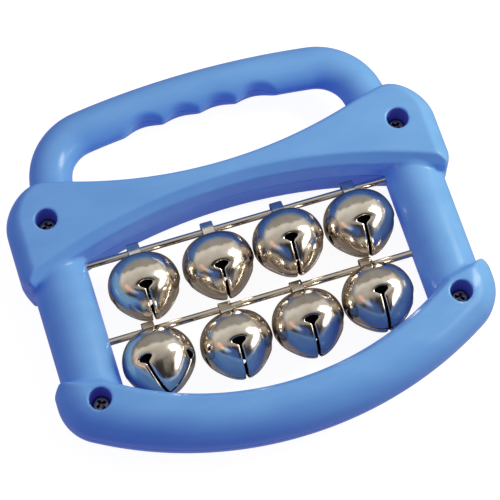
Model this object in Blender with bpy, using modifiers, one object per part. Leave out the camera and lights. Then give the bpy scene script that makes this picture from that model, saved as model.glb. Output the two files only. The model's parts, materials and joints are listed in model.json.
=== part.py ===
"""Sleigh bells on a hand-held plastic frame: two clam-shell halves, two rods and eight jingle bells.

The instrument lies flat on its back. +Z is up through the front face, +Y runs towards the handle,
and X runs along the rods. The origin is at the bottom centre of the whole object.
"""

import math

import bmesh
import bpy
from mathutils import Matrix, Vector

MM = 0.001

# Whole frame
THICKNESS = 28.0
MID_Z = THICKNESS / 2
WALL = 2.2
PARTING_GAP = 0.3
HALF_WIDTH = 77.0
STEP_X = 74.3
FIT_GAP = 0.3
CUT_PAST = 1.0
HALF_SPACE_SIZE = 300.0
SHADING_ANGLE = 35.0

# Rims: steps round each quarter ellipse, the least width or depth, and the sharpest mitre
ROUNDING_STEPS = 3
LEAST_ROUNDING = 0.4
MITRE_LIMIT = 0.5

# Sides of the round parts
ROUND_SIDES = 16
BOSS_SIDES = 14
HOLE_SIDES = 12
BORE_SIDES = 20
SLOT_HOLE_SIDES = 8
TUBE_RESOLUTION = 2

# Upper block
TOP_EDGE_Y = 28.6
TOP_EDGE_RADIUS = 163.0
TOP_EDGE_REACH = 52.0
TOP_EDGE_STEPS = 5
SHOULDER_RADIUS = 14.2
SHOULDER_START = 105.0
SHOULDER_STEPS = 6
ARCH_Y = 19.8
ARCH_RADIUS = 182.0
ARCH_STEPS = 8
UPPER_STEP_Y = 7.8
UPPER_EDGE = (2.0, 2.8)
UPPER_SIDE = (7.5, 12.0)
UPPER_SIDE_FROM_X = 65.0
UPPER_SIDE_FROM_Y = 8.0
UPPER_SIDE_RUN = 14.0

# Lower block
LOWER_OUTER_Y = -69.0
LOWER_OUTER_RADIUS = 135.0
LOWER_OUTER_STEPS = 7
LOWER_INNER_Y = -53.2
LOWER_INNER_RADIUS = 105.0
LOWER_INNER_REACH = 60.0
LOWER_INNER_STEPS = 7
LOWER_CORNER_RADIUS = 15.5
LOWER_CORNER_STEPS = 5
LOWER_STEP_Y = -31.0
LOWER_STEP_FALL = 2.0
LOWER_EDGE = (1.8, 2.8)
LOWER_OUTSIDE = (10.5, 13.0)
LOWER_OUTSIDE_DROP = 5.0
LOWER_OUTSIDE_RUN = 16.0
INNER_EDGE_BAND = 1.0

# Side columns
COLUMN_X = 63.75
COLUMN_HALF_WIDTH = 9.95
COLUMN_HALF_DEPTH = 10.6
COLUMN_FROM_Y = -41.0
COLUMN_TO_Y = 15.0

# Handle
HANDLE_RADIUS = 7.5
HANDLE_Y = 61.6
HANDLE_CURVE_RADIUS = 295.0
HANDLE_CURVE_STEPS = 4
HANDLE_CORNER_RADIUS = 14.0
HANDLE_CORNER_STEPS = 6
LEG_POINT = (56.9, 44.3)
LEG_DIRECTION = (-0.21, 0.978)
LEG_LENGTH = 12.5
GRIP_X = (-20.0, -6.7, 6.7, 20.0)
GRIP_RADIUS = 9.0
GRIP_DEPTH = 2.0

# Screws and their bosses
SCREW_X = 62.8
SCREW_Y = (25.2, -41.2)
COUNTERBORE_RADIUS = 3.8
SEAT_Z = 18.0
HEAD_RADIUS = 3.3
HEAD_HEIGHT = 2.6
SHANK_RADIUS = 1.4
SHANK_TIP_Z = 4.5
SHANK_TIP_RADIUS = 0.42
SHANK_TAPER = 2.0
HEAD_PROFILE = ((1.0, 0.0), (1.0, 0.55), (0.75, 0.9), (0.35, 1.0))
SCREW_HOLE_RADIUS = 1.75
SCREW_HOLE_LENGTH = 20.0
FRONT_BOSS_RADIUS = 6.0
REAR_BOSS_RADIUS = 3.8
BOSS_ROOT_Z = 1.0
RECESS_HALF_WIDTH = 0.45
RECESS_REACH = 1.8
RECESS_DEPTH = 1.5

# Rods and the ribs that hold them
ROD_Y = (9.9, -18.85)
ROD_RADIUS = 1.2
ROD_HALF_LENGTH = 62.0
ROD_HOLE_RADIUS = 1.5
RIB_X = 58.0
RIB_THICKNESS = 2.4
RIB_HALF_WIDTH = 5.0
RIB_DEPTH = 8.0

# Bells
ROW_X = ((-36.85, -10.4, 14.75, 40.4), (-40.0, -13.1, 12.3, 37.5))
REST_TILT = ((-3.0, -6.4, 2.5, -2.0), (10.0, 1.4, 1.0, 7.5))
SPIN = ((0.0, 0.0, 0.0, 0.0), (-24.0, 0.0, 0.0, 0.0))
LOOP_SLACK = ((0.0, 0.0, 0.0, 0.0), (0.0, 1.0, 1.0, 0.0))
BELL_RADIUS = 12.35
BELL_HANG = 12.35
BELL_WALL = 0.8
DOME_FLATTENING = 1.6
CONE_FLATTENING = 0.85
MOUTH_LENGTHENING = 0.25
BELL_SIDES = 16
BELL_RINGS = 8
SLOT_WIDTH = 1.2
SLOT_HOLE_DROP = 2.9
SLOT_HOLE_HALF_WIDTH = 2.0
SLOT_HOLE_HALF_HEIGHT = 1.3
CUT_THROUGH = 3 * BELL_RADIUS
STRAP_SLIT_DEPTH = 3.0
STRAP_SLIT_DROP = 0.6

# Loop straps
STRAP_WIDTH = 4.3
STRAP_THICKNESS = 0.6
STRAP_HALF_SPAN = 1.9
STRAP_TOP = 3.0
STRAP_CORNER = 0.8
STRAP_TAB_DROP = 3.5
STRAP_TAB_REACH = 4.3

# Pellets
PELLET_RADIUS = 2.5
PELLET_ORBIT = 7.9
PELLET_SUBDIVISIONS = 2


def clear_scene():
    for old in list(bpy.data.objects):
        bpy.data.objects.remove(old, do_unlink=True)


def new_collection(name):
    collection = bpy.data.collections.new(name)
    bpy.context.scene.collection.children.link(collection)
    return collection


def make_material(name, colour, roughness, metallic):
    material = bpy.data.materials.new(name)
    material.use_nodes = True
    shader = material.node_tree.nodes["Principled BSDF"]
    shader.inputs["Base Color"].default_value = (*colour, 1.0)
    shader.inputs["Roughness"].default_value = roughness
    shader.inputs["Metallic"].default_value = metallic
    return material


def add_mesh(name, mesh, collection):
    obj = bpy.data.objects.new(name, mesh)
    collection.objects.link(obj)
    if collection is CUTTERS:
        obj.hide_render = True
        obj.display_type = "WIRE"
    return obj


def finish_part(obj, material, smooth=True):
    obj.data.materials.clear()
    obj.data.materials.append(material)
    if smooth:
        obj.data.shade_smooth()
        obj.data.set_sharp_from_angle(angle=math.radians(SHADING_ANGLE))
    return obj


def evaluated_mesh(obj, name):
    """The object's mesh with its modifiers applied, in the object's own space."""
    bpy.context.view_layer.update()
    graph = bpy.context.evaluated_depsgraph_get()
    mesh = bpy.data.meshes.new_from_object(obj.evaluated_get(graph))
    mesh.name = name
    return mesh


def curve_to_mesh(curve_object, name, collection):
    """A closed mesh made from a curve object, which is then removed."""
    mesh = evaluated_mesh(curve_object, name)
    bm = bmesh.new()
    bm.from_mesh(mesh)
    bmesh.ops.remove_doubles(bm, verts=bm.verts, dist=1e-6)
    bmesh.ops.dissolve_limit(bm, angle_limit=math.radians(0.5), verts=bm.verts, edges=bm.edges)
    bmesh.ops.recalc_face_normals(bm, faces=bm.faces)
    bm.to_mesh(mesh)
    bm.free()
    mesh.transform(curve_object.matrix_world)
    bpy.data.objects.remove(curve_object, do_unlink=True)
    return add_mesh(name, mesh, collection)


def new_curve(name, points, dimensions, cyclic):
    """A curve object through points given in millimetres."""
    curve = bpy.data.curves.new(name, "CURVE")
    curve.dimensions = dimensions
    spline = curve.splines.new("POLY")
    spline.points.add(len(points) - 1)
    for target, point in zip(spline.points, points):
        x, y, z = (*point, 0.0)[:3]
        target.co = (x * MM, y * MM, z * MM, 1.0)
    spline.use_cyclic_u = cyclic
    obj = bpy.data.objects.new(name, curve)
    CUTTERS.objects.link(obj)
    return obj


def inward_normals(outline):
    """At each point of a clockwise outline, the step inwards that moves both its edges by 1."""
    normals = []
    for i, point in enumerate(outline):
        before = (Vector(point) - Vector(outline[i - 1])).normalized()
        after = (Vector(outline[(i + 1) % len(outline)]) - Vector(point)).normalized()
        middle = (Vector((before.y, -before.x)) + Vector((after.y, -after.x))).normalized()
        normals.append(middle / max(middle.dot(Vector((after.y, -after.x))), MITRE_LIMIT))
    return normals


def plate(name, outline, thickness, rounding):
    """A loft through the outline, centred on the parting plane, with both rims rounded off.

    rounding gives the width and the depth of the part-ellipse, in mm, at a point of the rim.
    """
    half = thickness / 2
    normals = inward_normals(outline)
    bm = bmesh.new()
    rings = []
    angles = [math.pi / 2 * k / ROUNDING_STEPS for k in range(ROUNDING_STEPS + 1)]
    for sign in (1, -1):
        for angle in angles if sign < 0 else reversed(angles):
            ring = []
            for point, normal in zip(outline, normals):
                width, depth = rounding(*point)
                place = Vector(point) + normal * width * (1 - math.cos(angle))
                z = MID_Z + sign * (half - depth * (1 - math.sin(angle)))
                ring.append(bm.verts.new(Vector((place.x, place.y, z)) * MM))
            rings.append(ring)
    count = len(outline)
    for upper, lower in zip(rings, rings[1:]):
        for i in range(count):
            j = (i + 1) % count
            bm.faces.new((upper[i], upper[j], lower[j], lower[i]))
    bm.faces.new(rings[0])
    bm.faces.new(reversed(rings[-1]))
    bmesh.ops.recalc_face_normals(bm, faces=bm.faces)
    mesh = bpy.data.meshes.new(name)
    bm.to_mesh(mesh)
    bm.free()
    return add_mesh(name, mesh, CUTTERS)


def tube(name, path, radius):
    obj = new_curve(name, path, "3D", False)
    obj.data.bevel_depth = radius * MM
    obj.data.bevel_resolution = TUBE_RESOLUTION
    obj.data.use_fill_caps = True
    obj.location.z = MID_Z * MM
    bpy.context.view_layer.update()
    return curve_to_mesh(obj, name, CUTTERS)


def cylinder(name, radius, length, centre, axis="Z", sides=ROUND_SIDES, squash=(1.0, 1.0)):
    """A cylinder along X, Y or Z; squash scales its section across and along Z before it turns."""
    bm = bmesh.new()
    bmesh.ops.create_cone(
        bm,
        cap_ends=True,
        segments=sides,
        radius1=radius * MM,
        radius2=radius * MM,
        depth=length * MM,
    )
    bmesh.ops.scale(bm, vec=(squash[0], squash[1], 1.0), verts=bm.verts)
    turns = {
        "X": Matrix.Rotation(math.radians(90), 4, "Y"),
        "Y": Matrix.Rotation(math.radians(90), 4, "X"),
        "Z": Matrix.Identity(4),
    }
    place = Matrix.Translation(Vector(centre) * MM) @ turns[axis]
    bmesh.ops.transform(bm, matrix=place, verts=bm.verts)
    mesh = bpy.data.meshes.new(name)
    bm.to_mesh(mesh)
    bm.free()
    return add_mesh(name, mesh, CUTTERS)


def box(name, size, centre, turn=None):
    bm = bmesh.new()
    bmesh.ops.create_cube(bm, size=1.0)
    bmesh.ops.scale(bm, vec=Vector(size) * MM, verts=bm.verts)
    bmesh.ops.translate(bm, vec=Vector(centre) * MM, verts=bm.verts)
    if turn is not None:
        bmesh.ops.transform(bm, matrix=turn, verts=bm.verts)
    mesh = bpy.data.meshes.new(name)
    bm.to_mesh(mesh)
    bm.free()
    return add_mesh(name, mesh, CUTTERS)


def add_boolean(obj, operation, other):
    modifier = obj.modifiers.new(other.name, "BOOLEAN")
    modifier.operation = operation
    modifier.object = other
    modifier.solver = "EXACT"


def arc(centre, radius, start, end, steps):
    """Points along an arc, from one angle to another in degrees."""
    found = []
    for i in range(steps + 1):
        angle = math.radians(start + (end - start) * i / steps)
        found.append((centre[0] + radius * math.cos(angle), centre[1] + radius * math.sin(angle)))
    return found


def angle_at(x, radius):
    """How far round from its middle, in degrees, an arc centred on x = 0 reaches x."""
    return math.degrees(math.asin(x / radius))


def mirrored(right_half):
    """A closed outline from its right half, which runs from the top centre to the bottom centre."""
    left_half = [(-x, y) for x, y in reversed(right_half) if x > 1e-6]
    return right_half + left_half


def upper_outline(inset):
    top_radius = TOP_EDGE_RADIUS + inset
    top_angle = angle_at(TOP_EDGE_REACH, top_radius)
    top_centre = (0.0, TOP_EDGE_Y + TOP_EDGE_RADIUS)
    top = arc(top_centre, top_radius, -90, -90 + top_angle, TOP_EDGE_STEPS)
    shoulder = arc((SCREW_X, SCREW_Y[0]), SHOULDER_RADIUS - inset, SHOULDER_START, 0, SHOULDER_STEPS)
    arch_radius = ARCH_RADIUS + inset
    arch_reach = STEP_X - inset
    arch_angle = angle_at(arch_reach, arch_radius)
    arch_centre = (0.0, ARCH_Y - ARCH_RADIUS)
    arch = arc(arch_centre, arch_radius, 90 - arch_angle, 90, ARCH_STEPS)
    side = [(HALF_WIDTH - inset, UPPER_STEP_Y + inset)]
    return mirrored(top + shoulder + side + arch)


def lower_outline(inset):
    inner_radius = LOWER_INNER_RADIUS + inset
    inner_angle = angle_at(LOWER_INNER_REACH, inner_radius)
    inner_centre = (0.0, LOWER_INNER_Y + LOWER_INNER_RADIUS)
    inner = arc(inner_centre, inner_radius, -90, -90 + inner_angle, LOWER_INNER_STEPS)
    outer_centre = Vector((0.0, LOWER_OUTER_Y + LOWER_OUTER_RADIUS))
    corner_x = HALF_WIDTH - LOWER_CORNER_RADIUS
    reach = LOWER_OUTER_RADIUS - LOWER_CORNER_RADIUS
    corner = Vector((corner_x, outer_centre.y - math.sqrt(reach**2 - corner_x**2)))
    meet = math.degrees(math.atan2(corner.y - outer_centre.y, corner.x))
    step = [
        (STEP_X - inset, LOWER_STEP_Y - inset),
        (HALF_WIDTH - inset, LOWER_STEP_Y - LOWER_STEP_FALL - inset),
    ]
    side = arc(corner, LOWER_CORNER_RADIUS - inset, 0, meet, LOWER_CORNER_STEPS)
    outer = arc(outer_centre, LOWER_OUTER_RADIUS - inset, meet, -90, LOWER_OUTER_STEPS)
    return mirrored(inner + step + side + outer[1:])


def blend(first, second, amount, inset):
    """A rounding's width and depth between two others, drawn in by the inset."""
    amount = min(max(amount, 0.0), 1.0)
    return [max(a + (b - a) * amount - inset, LEAST_ROUNDING) for a, b in zip(first, second)]


def upper_rounding(inset):
    """Slim along the upper block's long edges and fuller round its two shoulders."""

    def at(x, y):
        side = (abs(x) - UPPER_SIDE_FROM_X) / (HALF_WIDTH - inset - UPPER_SIDE_FROM_X)
        side = max(side, 0.0) * max(y - UPPER_SIDE_FROM_Y, 0.0) / UPPER_SIDE_RUN
        return blend(UPPER_EDGE, UPPER_SIDE, side, inset)

    return at


def lower_rounding(inset):
    """Full along the lower block's outer edge, and slim along its inner edge and its steps."""

    def at(x, y):
        inner_reach = math.hypot(x, y - LOWER_INNER_Y - LOWER_INNER_RADIUS)
        if inner_reach < LOWER_INNER_RADIUS + inset + INNER_EDGE_BAND:
            return blend(LOWER_EDGE, LOWER_EDGE, 0.0, inset)
        fallen = LOWER_STEP_Y - LOWER_OUTSIDE_DROP - y
        return blend(LOWER_EDGE, LOWER_OUTSIDE, fallen / LOWER_OUTSIDE_RUN, inset)

    return at


def handle_path():
    """Half the handle's centre line: a shallow arc, a round corner and a straight leg."""
    leg_point = Vector(LEG_POINT)
    leg = Vector(LEG_DIRECTION).normalized()
    inward = Vector((-leg.y, leg.x))
    centre = Vector((0.0, HANDLE_Y - HANDLE_CURVE_RADIUS))
    reach = HANDLE_CURVE_RADIUS - HANDLE_CORNER_RADIUS
    start = leg_point + inward * HANDLE_CORNER_RADIUS - centre
    along = -start.dot(leg) + math.sqrt(start.dot(leg) ** 2 - start.length_squared + reach**2)
    corner = centre + start + leg * along
    meet = math.degrees(math.atan2(corner.y - centre.y, corner.x))
    leg_angle = math.degrees(math.atan2(-inward.y, -inward.x))
    grip = arc(centre, HANDLE_CURVE_RADIUS, 90, meet, HANDLE_CURVE_STEPS)
    bend = arc(corner, HANDLE_CORNER_RADIUS, meet, leg_angle, HANDLE_CORNER_STEPS)
    foot = leg_point - leg * LEG_LENGTH
    return grip + bend[1:] + [tuple(foot)]


def handle_solid(label, inset):
    half = handle_path()
    path = [(-x, y) for x, y in reversed(half[1:])] + half
    handle = tube(f"handle_{label}", path, HANDLE_RADIUS - inset)
    for i, x in enumerate(GRIP_X):
        top = HANDLE_Y - HANDLE_RADIUS + GRIP_DEPTH
        groove = cylinder(
            f"grip_{label}_{i}",
            GRIP_RADIUS + inset,
            THICKNESS,
            (x, top - GRIP_RADIUS, MID_Z),
            sides=BORE_SIDES,
        )
        add_boolean(handle, "DIFFERENCE", groove)
    return handle


def frame_solid(label, inset):
    """The whole frame's shape at full thickness, drawn in from its outside by the inset."""
    thickness = THICKNESS - 2 * inset
    frame = plate(f"upper_{label}", upper_outline(inset), thickness, upper_rounding(inset))
    lower = plate(f"lower_{label}", lower_outline(inset), thickness, lower_rounding(inset))
    add_boolean(frame, "UNION", lower)
    length = COLUMN_TO_Y - COLUMN_FROM_Y
    depth = (COLUMN_HALF_DEPTH - inset) / (COLUMN_HALF_WIDTH - inset)
    for side, sign in (("left", -1), ("right", 1)):
        column = cylinder(
            f"column_{label}_{side}",
            COLUMN_HALF_WIDTH - inset,
            length,
            (sign * COLUMN_X, (COLUMN_FROM_Y + COLUMN_TO_Y) / 2, MID_Z),
            axis="Y",
            squash=(1.0, depth),
        )
        add_boolean(frame, "UNION", column)
    add_boolean(frame, "UNION", handle_solid(label, inset))
    return frame


def screw_places():
    return [(sign * SCREW_X, y) for y in SCREW_Y for sign in (-1, 1)]


def half_shell(name, outer, inner, front):
    """One half of the clam shell, with its screw bosses and the ribs that hold the rods."""
    sign = 1 if front else -1
    shell = add_mesh(name, evaluated_mesh(outer, name), PARTS)
    add_boolean(shell, "DIFFERENCE", inner)
    depth = MID_Z - PARTING_GAP / 2 + CUT_PAST
    middle = MID_Z + sign * (PARTING_GAP + depth) / 2
    ribs_from = MID_Z + sign * PARTING_GAP / 2
    ribs_to = MID_Z + sign * RIB_DEPTH
    for i, (x, y) in enumerate(screw_places()):
        radius = FRONT_BOSS_RADIUS if front else REAR_BOSS_RADIUS
        far = MID_Z + sign * (MID_Z - BOSS_ROOT_Z)
        boss = cylinder(
            f"{name}_boss_{i}",
            radius,
            abs(far - ribs_from),
            (x, y, (far + ribs_from) / 2),
            sides=BOSS_SIDES,
        )
        add_boolean(shell, "UNION", boss)
    for row, y in enumerate(ROD_Y):
        for side in (-1, 1):
            rib = box(
                f"{name}_rib_{row}_{side + 1}",
                (RIB_THICKNESS, 2 * RIB_HALF_WIDTH, abs(ribs_to - ribs_from)),
                (side * RIB_X, y, (ribs_from + ribs_to) / 2),
            )
            add_boolean(shell, "UNION", rib)
    size = (HALF_SPACE_SIZE, HALF_SPACE_SIZE, depth)
    half_space = box(f"{name}_half_space", size, (0, 0, middle))
    add_boolean(shell, "INTERSECT", half_space)
    for i, (x, y) in enumerate(screw_places()):
        hole = cylinder(
            f"{name}_screw_hole_{i}",
            SCREW_HOLE_RADIUS,
            SCREW_HOLE_LENGTH,
            (x, y, MID_Z),
            sides=HOLE_SIDES,
        )
        add_boolean(shell, "DIFFERENCE", hole)
        if front:
            bore_length = THICKNESS - SEAT_Z + CUT_PAST
            bore = cylinder(
                f"{name}_counterbore_{i}",
                COUNTERBORE_RADIUS,
                bore_length,
                (x, y, SEAT_Z + bore_length / 2),
                sides=BORE_SIDES,
            )
            add_boolean(shell, "DIFFERENCE", bore)
    for row, y in enumerate(ROD_Y):
        seat = cylinder(
            f"{name}_rod_seat_{row}",
            ROD_HOLE_RADIUS,
            2 * (ROD_HALF_LENGTH + FIT_GAP),
            (0, y, MID_Z),
            axis="X",
        )
        add_boolean(shell, "DIFFERENCE", seat)
    finished = evaluated_mesh(shell, name)
    shell.modifiers.clear()
    shell.data = finished
    return finish_part(shell, BLUE)


def screw_mesh():
    """A pan-head screw with a cross recess, its seat at the mesh's own origin."""
    profile = [
        (SHANK_TIP_RADIUS, SHANK_TIP_Z - SEAT_Z - FIT_GAP),
        (SHANK_RADIUS, SHANK_TIP_Z - SEAT_Z + SHANK_TAPER),
        (SHANK_RADIUS, 0.0),
    ]
    profile += [(HEAD_RADIUS * out, HEAD_HEIGHT * up) for out, up in HEAD_PROFILE]
    body = turned("screw_body", profile, ROUND_SIDES)
    arm_height = RECESS_DEPTH + CUT_PAST
    for i in range(2):
        arm = box(
            f"recess_arm_{i}",
            (2 * RECESS_REACH, 2 * RECESS_HALF_WIDTH, arm_height),
            (0, 0, HEAD_HEIGHT - RECESS_DEPTH + arm_height / 2),
            Matrix.Rotation(math.radians(90 * i), 4, "Z"),
        )
        add_boolean(body, "DIFFERENCE", arm)
    return evaluated_mesh(body, "screw")


def turned(name, profile, steps):
    """A solid turned about Z from a profile of (radius, height) points, lowest first."""
    bm = bmesh.new()
    points = [(0.0, profile[0][1])] + profile + [(0.0, profile[-1][1])]
    points = [p for i, p in enumerate(points) if i == 0 or p != points[i - 1]]
    chain = [bm.verts.new((r * MM, 0.0, z * MM)) for r, z in reversed(points)]
    for a, b in zip(chain, chain[1:]):
        bm.edges.new((a, b))
    mesh = bpy.data.meshes.new(name)
    bm.to_mesh(mesh)
    bm.free()
    obj = add_mesh(name, mesh, CUTTERS)
    screw = obj.modifiers.new("Turn", "SCREW")
    screw.axis = "Z"
    screw.steps = steps
    screw.render_steps = steps
    screw.use_merge_vertices = True
    screw.merge_threshold = 0.00001
    return obj


def bell_radius_at(angle):
    """The bell's reach from its centre, at an angle in radians above (+) or below (-) its widest plane."""
    if angle >= 0:
        return BELL_RADIUS - DOME_FLATTENING * math.sin(angle) ** 4
    below = BELL_RADIUS + MOUTH_LENGTHENING * math.sin(angle) ** 2
    return below - CONE_FLATTENING * math.sin(2 * angle) ** 2


def bell_profile(inset):
    """Points from the mouth's pole up to the dome's crown, about the bell's own centre."""
    points = []
    for i in range(BELL_RINGS + 1):
        angle = math.radians(-90 + 180 * i / BELL_RINGS)
        reach = bell_radius_at(angle) - inset
        points.append((max(reach * math.cos(angle), 0.0), reach * math.sin(angle)))
    points[0] = (0.0, points[0][1])
    points[-1] = (0.0, points[-1][1])
    return points


def bell_mesh(spin):
    """A hollow bell hanging along -Z from the rod's axis at the origin, its slots spun round Z."""
    down = -BELL_HANG
    body = turned("bell_outside", [(r, z + down) for r, z in bell_profile(0.0)], BELL_SIDES)
    hollow = turned("bell_inside", [(r, z + down) for r, z in bell_profile(BELL_WALL)], BELL_SIDES)
    add_boolean(body, "DIFFERENCE", hollow)
    hole_z = down - SLOT_HOLE_DROP
    crown = down + BELL_RADIUS - DOME_FLATTENING
    slot_height = 2 * BELL_RADIUS
    for i in range(2):
        turn = Matrix.Rotation(math.radians(spin + 90 * i), 4, "Z")
        slot = box(
            f"slot_{i}",
            (SLOT_WIDTH, CUT_THROUGH, slot_height),
            (0, 0, hole_z - slot_height / 2),
            turn,
        )
        add_boolean(body, "DIFFERENCE", slot)
        hole = cylinder(
            f"slot_end_{i}",
            SLOT_HOLE_HALF_WIDTH,
            CUT_THROUGH,
            (0, 0, hole_z),
            axis="Y",
            sides=SLOT_HOLE_SIDES,
            squash=(1.0, SLOT_HOLE_HALF_HEIGHT / SLOT_HOLE_HALF_WIDTH),
        )
        hole.data.transform(turn)
        add_boolean(body, "DIFFERENCE", hole)
    for sign in (-1, 1):
        slit = box(
            f"strap_slit_{sign + 1}",
            (STRAP_WIDTH + 2 * FIT_GAP, STRAP_THICKNESS + 2 * FIT_GAP, STRAP_SLIT_DEPTH),
            (0, sign * STRAP_HALF_SPAN, crown - STRAP_SLIT_DROP),
        )
        add_boolean(body, "DIFFERENCE", slit)
    return evaluated_mesh(body, "bell")


def strap_mesh():
    """The flat strap that loops over the rod, its two legs bent outwards inside the dome."""
    half = [
        (STRAP_HALF_SPAN - STRAP_CORNER, STRAP_TOP),
        (STRAP_HALF_SPAN, STRAP_TOP - STRAP_CORNER),
        (STRAP_HALF_SPAN, -STRAP_TAB_DROP),
        (STRAP_TAB_REACH, -STRAP_TAB_DROP),
    ]
    path = [(-y, z) for y, z in reversed(half)] + half
    ribbon = new_curve("strap", path, "2D", False)
    ribbon.data.fill_mode = "NONE"
    ribbon.data.extrude = STRAP_WIDTH / 2 * MM
    mesh = evaluated_mesh(ribbon, "strap_sheet")
    bpy.data.objects.remove(ribbon, do_unlink=True)
    stand = Matrix(((0, 0, 1, 0), (1, 0, 0, 0), (0, 1, 0, 0), (0, 0, 0, 1)))
    mesh.transform(stand)
    sheet = add_mesh("strap_sheet", mesh, CUTTERS)
    solidify = sheet.modifiers.new("Thickness", "SOLIDIFY")
    solidify.thickness = STRAP_THICKNESS * MM
    solidify.offset = 0.0
    solidify.use_even_offset = True
    return evaluated_mesh(sheet, "strap")


def pellet_mesh():
    bm = bmesh.new()
    bmesh.ops.create_icosphere(bm, subdivisions=PELLET_SUBDIVISIONS, radius=PELLET_RADIUS * MM)
    mesh = bpy.data.meshes.new("pellet")
    bm.to_mesh(mesh)
    bm.free()
    return mesh


def build_shells():
    outer = frame_solid("outside", 0.0)
    inner = frame_solid("inside", WALL)
    half_shell("front_shell", outer, inner, True)
    half_shell("rear_shell", outer, inner, False)


def build_screws():
    mesh = screw_mesh()
    for i, (x, y) in enumerate(screw_places()):
        screw = add_mesh(f"screw_{i + 1}", mesh.copy(), PARTS)
        screw.location = Vector((x, y, SEAT_Z + FIT_GAP)) * MM
        finish_part(screw, STEEL)


def build_rods():
    for name, y in zip(("upper_rod", "lower_rod"), ROD_Y):
        rod = cylinder(name, ROD_RADIUS, 2 * ROD_HALF_LENGTH, (0, 0, 0), axis="X")
        CUTTERS.objects.unlink(rod)
        PARTS.objects.link(rod)
        rod.hide_render = False
        rod.display_type = "TEXTURED"
        rod.location = Vector((0, y, MID_Z)) * MM
        finish_part(rod, NICKEL)


def build_bells():
    strap = strap_mesh()
    pellet = pellet_mesh()
    number = 0
    for y, *row in zip(ROD_Y, ROW_X, REST_TILT, SPIN, LOOP_SLACK):
        for x, tilt, spin, slack in zip(*row):
            number += 1
            pivot = bpy.data.objects.new(f"bell_{number}_pivot", None)
            PARTS.objects.link(pivot)
            pivot.location = Vector((x, y, MID_Z)) * MM
            pivot.rotation_euler = (math.radians(-90 - tilt), 0.0, 0.0)
            shell = add_mesh(f"bell_{number}", bell_mesh(spin), PARTS)
            shell.parent = pivot
            shell.location.z = -slack * MM
            loop = add_mesh(f"bell_{number}_loop", strap.copy(), PARTS)
            loop.parent = pivot
            loop.location.z = -slack * MM
            centre = bpy.data.objects.new(f"bell_{number}_centre", None)
            PARTS.objects.link(centre)
            centre.parent = pivot
            centre.location = (0.0, 0.0, -(BELL_HANG + slack) * MM)
            ball = add_mesh(f"bell_{number}_pellet", pellet.copy(), PARTS)
            ball.parent = centre
            down = Matrix.Rotation(math.radians(90 + tilt), 4, "X") @ Vector((0.0, 0.0, -1.0))
            ball.location = down * PELLET_ORBIT * MM
            finish_part(shell, NICKEL)
            finish_part(loop, NICKEL, smooth=False)
            finish_part(ball, STEEL)


def main():
    build_shells()
    build_screws()
    build_rods()
    build_bells()


clear_scene()
PARTS = new_collection("sleigh_bells")
CUTTERS = new_collection("cutters")
BLUE = make_material("blue_plastic", (0.17, 0.36, 0.76), 0.25, 0.0)
NICKEL = make_material("nickel", (0.78, 0.73, 0.66), 0.12, 1.0)
STEEL = make_material("steel", (0.32, 0.33, 0.36), 0.3, 1.0)
main()
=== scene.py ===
"""Looks of the sleigh bells: moulded shells, nickel bells, straps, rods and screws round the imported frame.

Most solids are the zero surface of a field, negative inside, which is sampled on a grid and then pulled onto
the exact surface; rods and straps are rings joined by quads. Sizes are in mm until a mesh is made. Places
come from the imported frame, and shapes follow the CAD part's driving sizes, with softer rims and finer slots.
"""

import json
import math

import bmesh
import bpy
import numpy as np
from mathutils import Euler, Matrix, Vector


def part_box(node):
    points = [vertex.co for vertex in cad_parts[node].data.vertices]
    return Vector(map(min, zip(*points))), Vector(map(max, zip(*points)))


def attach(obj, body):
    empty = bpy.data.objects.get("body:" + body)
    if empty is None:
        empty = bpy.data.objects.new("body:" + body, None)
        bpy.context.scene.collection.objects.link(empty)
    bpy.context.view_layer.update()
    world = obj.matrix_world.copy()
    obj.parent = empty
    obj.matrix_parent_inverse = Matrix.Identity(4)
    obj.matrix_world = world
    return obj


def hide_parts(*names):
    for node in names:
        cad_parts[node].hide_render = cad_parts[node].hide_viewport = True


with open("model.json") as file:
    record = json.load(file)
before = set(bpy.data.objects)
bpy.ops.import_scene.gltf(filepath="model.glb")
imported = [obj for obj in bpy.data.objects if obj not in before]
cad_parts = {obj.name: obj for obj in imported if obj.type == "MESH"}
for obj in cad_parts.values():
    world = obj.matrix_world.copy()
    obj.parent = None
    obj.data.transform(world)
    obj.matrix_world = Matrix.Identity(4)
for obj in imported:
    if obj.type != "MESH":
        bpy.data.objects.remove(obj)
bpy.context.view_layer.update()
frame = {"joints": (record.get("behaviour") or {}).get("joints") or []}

MM = 0.001

# Outer sizes, read from the frame, and the gap between the half shells and their wall
SHELL_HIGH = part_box("front_shell")[1] / MM
HALF_WIDTH = SHELL_HIGH.x
THICKNESS = SHELL_HIGH.z
MID_Z = THICKNESS / 2
PARTING_GAP = 0.3
WALL = 2.2

# Upper block; an edge, side or chamfer is its width and its depth
TOP_EDGE_Y = 28.6
TOP_EDGE_RADIUS = 163.0
TOP_EDGE_REACH = 52.0
SHOULDER_RADIUS = 14.2
SHOULDER_START = 105.0
ARCH_Y = 19.8
ARCH_RADIUS = 182.0
ARCH_CHAMFER = (3.1, 4.0)
UPPER_STEP = ((77.0, 9.0), (74.3, 4.9))
UPPER_EDGE = (2.0, 2.8)
UPPER_SIDE = (8.5, 9.0)
UPPER_SIDE_FROM_X = 62.0
UPPER_RUN_DOWN_TO = -30.0

# Lower block
LOWER_OUTER_Y = -69.0
LOWER_OUTER_RADIUS = 135.0
LOWER_INNER_Y = -53.2
LOWER_INNER_RADIUS = 105.0
LOWER_INNER_REACH = 60.0
LOWER_CORNER_RADIUS = 15.5
LOWER_STEP = ((74.3, -31.0), (77.0, -33.0))
LOWER_BEYOND = ((95.0, -46.0), (95.0, -120.0))
LOWER_RUN_UP_TO = 0.0
LOWER_CHAMFER = (2.0, 2.8)
LOWER_OUTSIDE = (10.5, 13.0)

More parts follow.
